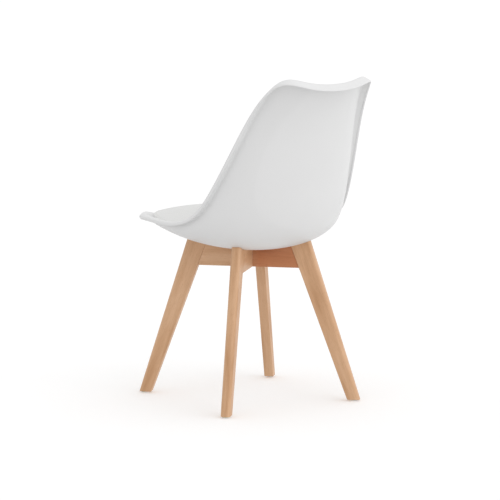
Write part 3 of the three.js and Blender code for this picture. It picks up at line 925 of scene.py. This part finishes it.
glide = {"radius": 0.0095, "thickness": 0.0032, "hole": 0.0015, "recess": 0.0038,
         "recessDepth": 0.0025, "edge": 0.0009}
nailSizes = {"headRadius": 0.0035, "headHeight": 0.0012, "shank": 0.0012, "point": 0.0024}
for corner in cornerAngles:
    node = f"glide_{corner}"
    edge = glide["edge"]
    profile = [(glide["recess"], 0), (glide["radius"] - edge, 0),
               (glide["radius"] - edge * 0.3, edge * 0.3), (glide["radius"], edge),
               (glide["radius"], glide["thickness"] - edge * 0.6),
               (glide["radius"] - edge * 0.6, glide["thickness"]),
               (glide["hole"], glide["thickness"]), (glide["hole"], glide["recessDepth"]),
               (glide["recess"], glide["recessDepth"])]
    disc = turnedPiece(f"{node}_disc", profile, middleOf(node), glideMaterial, closed=True)
    settle(shadeByAngle(disc, 40), "glide_plastic", node)
    nail = f"glide_nail_{corner}"
    low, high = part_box(nail)
    profile = [(0, low.z), (0.0022, low.z + 0.00005), (0.0033, low.z + 0.0003),
               (nailSizes["headRadius"], low.z + 0.0007),
               (nailSizes["headRadius"], low.z + nailSizes["headHeight"]),
               (nailSizes["shank"], low.z + nailSizes["headHeight"]),
               (nailSizes["shank"], high.z - nailSizes["point"]), (0, high.z)]
    pin = turnedPiece(f"{nail}_pin", profile, middleOf(nail), steelMaterial, 32)
    settle(shadeByAngle(pin, 30), "zinc_steel", nail)
print("fastenings and feet made")


# Pad

pad = {
    "inset": 0.018, "front": -0.197, "back": 0.168, "power": 4.4,
    "top": 0.478, "drop": 0.030, "slope": -0.08,
    "band": 0.013,  # height of the side band under the seam
    "deepest": 0.026,  # from the seam down to the lowest that the band reaches
    "clear": 0.0026,  # off the bucket's middle surface
    "segments": 192, "topRings": 36, "underRings": 14,
    "seamRings": [0.984, 0.991, 0.996, 1.0],  # close rings, for the groove of the seam
    "bandRings": [1.06, 1.14, 1.3, 1.55, 1.8, 2.0],
    "swell": 0.006,  # how far the cloth may move
    "clothFrames": 20,
    "fill": 0.8,
}
padMiddle = (pad["front"] + pad["back"]) / 2


def padEdge(angle, share=1.0):
    # a point of the pad's outline, measured from the crossing
    reach = share * squared(angle, pad["power"])
    halfWidth = bucket["width"] / 2 - pad["inset"]
    halfDepth = (pad["back"] - pad["front"]) / 2
    return halfWidth * reach * math.cos(angle), padMiddle + halfDepth * reach * math.sin(angle)


def padHeight(share, y):
    return pad["top"] - pad["drop"] * share**3 + pad["slope"] * (y - padMiddle)


def seamShare(angle):
    # how far out the seam runs before its band would meet the bucket
    low, high = 0.6, 1.0
    for _ in range(14):
        middle = (low + high) / 2
        x, y = padEdge(angle, middle)
        room = padHeight(middle, y) - restHeight(x, y, pad["clear"])
        if room > pad["band"]:
            low = middle
        else:
            high = middle
    return low


def smoothRound(values, passes):
    count = len(values)
    for _ in range(passes):
        values = [(values[i - 1] + 2 * values[i] + values[(i + 1) % count]) / 4
                  for i in range(count)]
    return values


# one seam share for each segment, smoothed so that the outline has no kinks
seamShares = smoothRound([seamShare(2 * math.pi * i / pad["segments"])
                          for i in range(pad["segments"])], 3)


def seamAt(angle):
    return seamShares[round(angle / (2 * math.pi) * pad["segments"]) % pad["segments"]]


def padPoint(reach, angle):
    seam = seamAt(angle)
    if reach <= 1.0001:
        x, y = padEdge(angle, reach * seam)
        return crossing + Vector((x, y, padHeight(reach * seam, y)))
    if reach <= 2.0001:
        # the band drops from the seam and draws in a little
        down = reach - 1
        x, y = padEdge(angle, seam * (1 + 0.012 * math.sin(down * math.pi) - 0.03 * down))
        topY = padEdge(angle, seam)[1]
        top = padHeight(seam, topY)
        floor = max(restHeight(x, y, pad["clear"]), top - pad["deepest"])
        return crossing + Vector((x, y, top + (floor - top) * down))
    inwards = 3 - reach
    x, y = padEdge(angle, seam * 0.97 * inwards)
    flat = boardPlane["height"] - 0.0015 + boardPlane["slope"] * (y - padMiddle)
    return crossing + Vector((x, y, max(restHeight(x, y, pad["clear"]), flat)))


def padDisc():
    top = [0.975 * (i + 1) / pad["topRings"] for i in range(pad["topRings"])]
    top += pad["seamRings"]
    band = pad["bandRings"]
    under = [2 + (i + 1) / pad["underRings"] for i in range(pad["underRings"] - 1)]
    bm = ringDisc(pad["segments"], top + band + under)
    layer = bm.verts.layers.float.new("reach")
    for vert in bm.verts:
        vert[layer] = math.hypot(vert.co.x, vert.co.y)
    shapeDisc(bm, padPoint)
    closeHole(bm)
    return bm


def swellPad(piece):
    # cloth under gentle pressure, held at the seam and underneath
    before = [vert.co.copy() for vert in piece.data.vertices]
    reaches = [item.value for item in piece.data.attributes["reach"].data]
    held = piece.vertex_groups.new(name="held")
    for index, reach in enumerate(reaches):
        if reach == 0 and before[index].z < crossing.z + 0.45:
            held.add([index], 1, "REPLACE")
        elif abs(reach - 1) < 0.004 or reach > 1.99:
            held.add([index], 1, "REPLACE")
    cloth = piece.modifiers.new("cloth", "CLOTH")
    cloth.settings.quality = 6
    cloth.settings.mass = 0.4
    cloth.settings.tension_stiffness = 25
    cloth.settings.compression_stiffness = 25
    cloth.settings.shear_stiffness = 12
    cloth.settings.bending_stiffness = 4
    cloth.settings.use_pressure = True
    cloth.settings.uniform_pressure_force = 4
    cloth.settings.vertex_group_mass = "held"
    cloth.settings.effector_weights.gravity = 0
    cloth.collision_settings.use_collision = False
    scene = bpy.context.scene
    for step in range(pad["clothFrames"]):
        scene.frame_set(step + 1)
    bakeModifiers(piece)
    scene.frame_set(1)
    for vert, start in zip(piece.data.vertices, before):
        moved = vert.co - start
        if moved.length > pad["swell"]:
            vert.co = start + moved.normalized() * pad["swell"]
    piece.vertex_groups.clear()
    return piece


seam = {"depth": 0.0013, "halfWidth": 0.12}


def sinkSeam(piece):
    # the cover is drawn in along the seam, between its top and its side band
    mesh = piece.data
    reaches = [item.value for item in mesh.attributes["reach"].data]
    for vert, reach in zip(mesh.vertices, reaches):
        away = abs(reach - 1) * (8 if reach < 1 else 1)
        if away < seam["halfWidth"]:
            depth = seam["depth"] * math.cos(away / seam["halfWidth"] * math.pi / 2) ** 2
            vert.co -= vert.normal * depth


stitch = {"pitch": 0.0058, "length": 0.0038, "thickness": 0.0009, "reach": 0.975}


def makeStitches(mesh):
    # a row of short stitches on the pad's top, just inside its seam
    ring = []
    for vert, item in zip(mesh.vertices, mesh.attributes["reach"].data):
        if abs(item.value - stitch["reach"]) < 0.002:
            away = vert.co - crossing
            ring.append((math.atan2(away.y - padMiddle, away.x), vert.co.copy(), vert.normal.copy()))
    ring.sort(key=lambda entry: entry[0])
    ring.append(ring[0])
    bm = bmesh.new()
    carried = 0.0
    for (_, start, normal), (_, end, _) in zip(ring, ring[1:]):
        span = (end - start).length
        while carried < span:
            place = start.lerp(end, carried / span)
            alongSeam = (end - start).normalized()
            side = normal.cross(alongSeam).normalized()
            turn = Matrix((alongSeam, side, alongSeam.cross(side))).transposed().to_4x4()
            size = Matrix.Diagonal((stitch["length"] / 2, stitch["thickness"] / 2,
                                    stitch["thickness"] / 2, 1))
            bmesh.ops.create_uvsphere(bm, u_segments=8, v_segments=5, radius=1,
                                      matrix=Matrix.Translation(place) @ turn @ size)
            carried += stitch["pitch"]
        carried -= span
    row = finishMesh("seat_pad_stitches", bm, threadMaterial)
    return settle(row, "cover_leather")


def makePad():
    piece = finishMesh("seat_pad", padDisc(), leatherMaterial)
    swellPad(piece)
    sinkSeam(piece)
    makeStitches(piece.data)
    piece.data.attributes.remove(piece.data.attributes["reach"])
    addSubdivision(piece, 1)
    settle(piece, "cover_leather", "cushion_cover", "cushion_foam")
    top = max(vert.co.z for vert in piece.data.vertices)
    print("pad rises to", round(top, 4))


makePad()
print("pad made")


# CAD pieces that stay, with a proper finish


def refinish(node, material):
    mesh = cadNodes[node].data
    mesh.materials.clear()
    mesh.materials.append(material)


refinish("cushion_board", plywoodMaterial)
for index in range(1, 5):
    refinish(f"threaded_insert_{index}", brassMaterial)
for corner in cornerAngles:
    for level in ("upper", "lower"):
        refinish(f"dowel_{corner}_{level}", dowelMaterial)
bpy.data.objects.remove(underCutter)


# Studio

studio = {
    "floorSize": 120,
    "floorGlow": 0.13,  # keeps the floor white round the soft shadows
    "fromBelow": 0.7, "fromAbove": 0.88,  # how bright the room is under and over the horizon
    "brightHeading": 135, "brightTo": 1.22,  # the brighter side, in degrees, and how much brighter
    "sunPower": 0.3, "sunSpread": 60, "sunHeading": 110, "sunHeight": 22,  # degrees
}


def makeFloor():
    bm = bmesh.new()
    bmesh.ops.create_grid(bm, x_segments=2, y_segments=2, size=studio["floorSize"] / 2)
    material, tree, shader = newMaterial("studio_floor")
    shader.inputs["Base Color"].default_value = (0.96, 0.96, 0.96, 1)
    shader.inputs["Roughness"].default_value = 0.9
    shader.inputs["Specular IOR Level"].default_value = 0.1
    shader.inputs["Emission Color"].default_value = (1, 1, 1, 1)
    shader.inputs["Emission Strength"].default_value = studio["floorGlow"]
    floor = finishMesh("floor", bm, material)
    floor.visible_diffuse = False  # the light from below comes from the world instead
    floor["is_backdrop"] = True


def makeRoom():
    # an even white room, dimmer from below
    world = bpy.data.worlds.new("studio")
    world.use_nodes = True
    tree = world.node_tree
    direction = tree.nodes.new("ShaderNodeTexCoord").outputs["Generated"]
    parts = addNode(tree, "ShaderNodeSeparateXYZ", [("Vector", direction)])
    strength = mapRange(tree, parts.outputs["Z"], -0.3, 0.3, studio["fromBelow"],
                        studio["fromAbove"])
    heading = math.radians(studio["brightHeading"])
    brightSide = addNode(tree, "ShaderNodeVectorMath", [(0, direction)], operation="DOT_PRODUCT")
    brightSide.inputs[1].default_value = (math.cos(heading), math.sin(heading), 0)
    gain = mapRange(tree, brightSide.outputs["Value"], 0.0, 1.0, 1.0, studio["brightTo"])
    strength = mathNode(tree, "MULTIPLY", strength, gain)
    tree.links.new(strength, tree.nodes["Background"].inputs["Strength"])
    tree.nodes["Background"].inputs["Color"].default_value = (1, 1, 1, 1)
    bpy.context.scene.world = world


def pointing(heading, height):
    # a direction from its heading and its height over the horizon, in degrees
    turn, rise = math.radians(heading), math.radians(height)
    return Vector((math.cos(rise) * math.cos(turn), math.cos(rise) * math.sin(turn),
                   math.sin(rise)))


def addSun():
    sun = bpy.data.lights.new("window_light", "SUN")
    sun.energy = studio["sunPower"]
    sun.angle = math.radians(studio["sunSpread"])
    lamp = bpy.data.objects.new("window_light", sun)
    towards = pointing(studio["sunHeading"], studio["sunHeight"])
    lamp.rotation_euler = towards.to_track_quat("Z", "Y").to_euler()
    bpy.context.scene.collection.objects.link(lamp)


makeFloor()
makeRoom()
addSun()

view = {"lens": 172.8, "place": (3.2466, 4.9764, 1.1877), "heading": -123.145, "dip": -7.818}
camera = bpy.data.objects.new("camera", bpy.data.cameras.new("camera"))
camera.data.lens = view["lens"]
camera.data.sensor_width = 36
camera.location = crossing + Vector(view["place"])
looking = pointing(view["heading"], view["dip"])
camera.rotation_euler = looking.to_track_quat("-Z", "Y").to_euler()
camera.data.clip_end = 200
bpy.context.scene.collection.objects.link(camera)
bpy.context.scene.camera = camera
bpy.context.scene.view_settings.view_transform = "Standard"
print("studio ready")

corners = [[list(corner) for corner in box] for box in (cadBox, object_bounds())]
